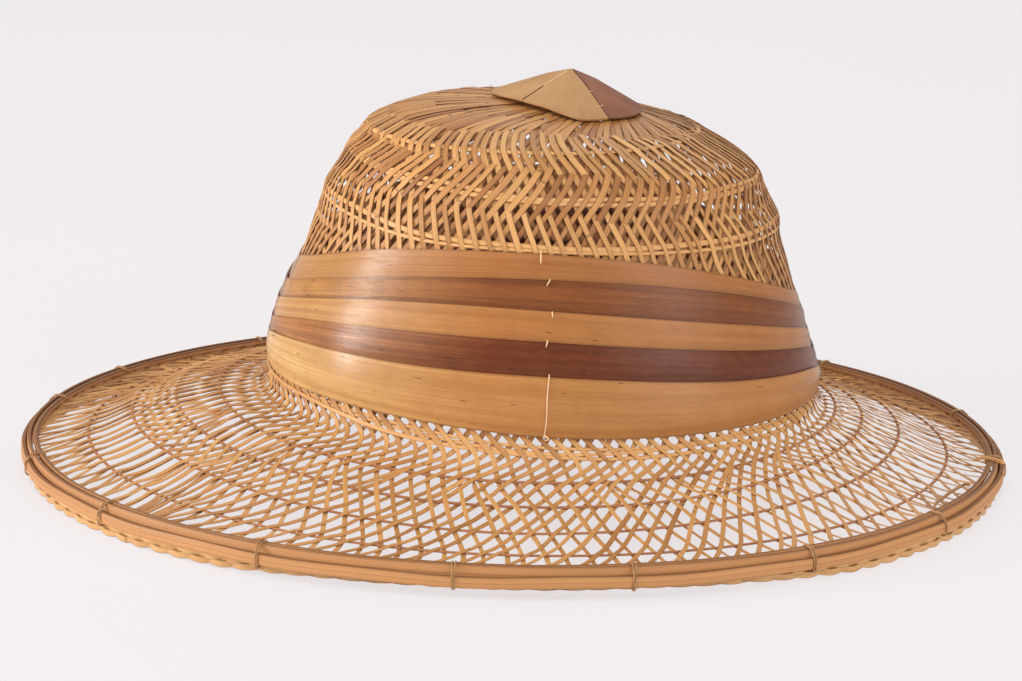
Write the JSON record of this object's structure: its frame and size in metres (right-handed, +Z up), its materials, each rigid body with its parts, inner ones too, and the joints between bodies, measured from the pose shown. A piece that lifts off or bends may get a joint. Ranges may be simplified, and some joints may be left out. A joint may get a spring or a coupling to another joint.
{
  "type": "woven bamboo pith helmet",
  "caption": "Open-weave bamboo sun helmet with a domed crown, overlapping sheath strips, a wide sloping brim on a cane rim and a small leaf cap.",
  "frame": {"origin": "centre of the rim outline, on the resting plane", "axes": "+X to the rear, -X to the front, +Y to the far side, +Z up"},
  "size_m": [0.374, 0.324, 0.1513],
  "materials": {
    "weave": "split bamboo, satin",
    "cane": "thin split cane, satin",
    "hoop": "split bamboo hoop, satin",
    "braid": "plaited bamboo, matt",
    "tie": "plant fibre, matt",
    "strip_tan": "bamboo sheath, satin",
    "strip_brown": "bamboo sheath, satin",
    "strip_dark": "bamboo sheath, satin",
    "strip_gold": "bamboo sheath, satin",
    "leaf": "dried leaf, matt",
    "leaf_brown": "dried leaf, matt"
  },
  "bodies": {
    "root": {"brim_weave": "weave", "crown_weave_wall": "weave", "crown_weave_top": "weave", "brim_cane_a": "cane", "brim_cane_b": "cane", "brim_cane_c": "cane", "brim_cane_d": "cane", "crown_cane_lower": "cane", "crown_cane_middle": "cane", "crown_cane_top": "cane", "junction_cane": "cane", "rim_hoop_outer": "hoop", "rim_hoop_upper": "hoop", "rim_hoop_inner": "hoop", "rim_braid": "braid", "rim_tie_01": "tie", "rim_tie_02": "tie", "rim_tie_03": "tie", "rim_tie_04": "tie", "rim_tie_05": "tie", "rim_tie_06": "tie", "rim_tie_07": "tie", "rim_tie_08": "tie", "rim_tie_09": "tie", "rim_tie_10": "tie", "rim_tie_11": "tie", "rim_tie_12": "tie", "rim_tie_13": "tie", "rim_tie_14": "tie", "rim_tie_15": "tie", "near_strip_1": "strip_tan", "near_strip_2": "strip_brown", "near_strip_3": "strip_tan", "near_strip_4": "strip_dark", "near_strip_5": "strip_gold", "far_strip_1": "strip_tan", "far_strip_2": "strip_brown", "far_strip_3": "strip_tan", "far_strip_4": "strip_dark", "far_strip_5": "strip_gold", "cap_leaf_near": "leaf", "cap_leaf_far": "leaf", "cap_leaf_front": "leaf", "cap_leaf_rear": "leaf_brown"}
  },
  "joints": []
}
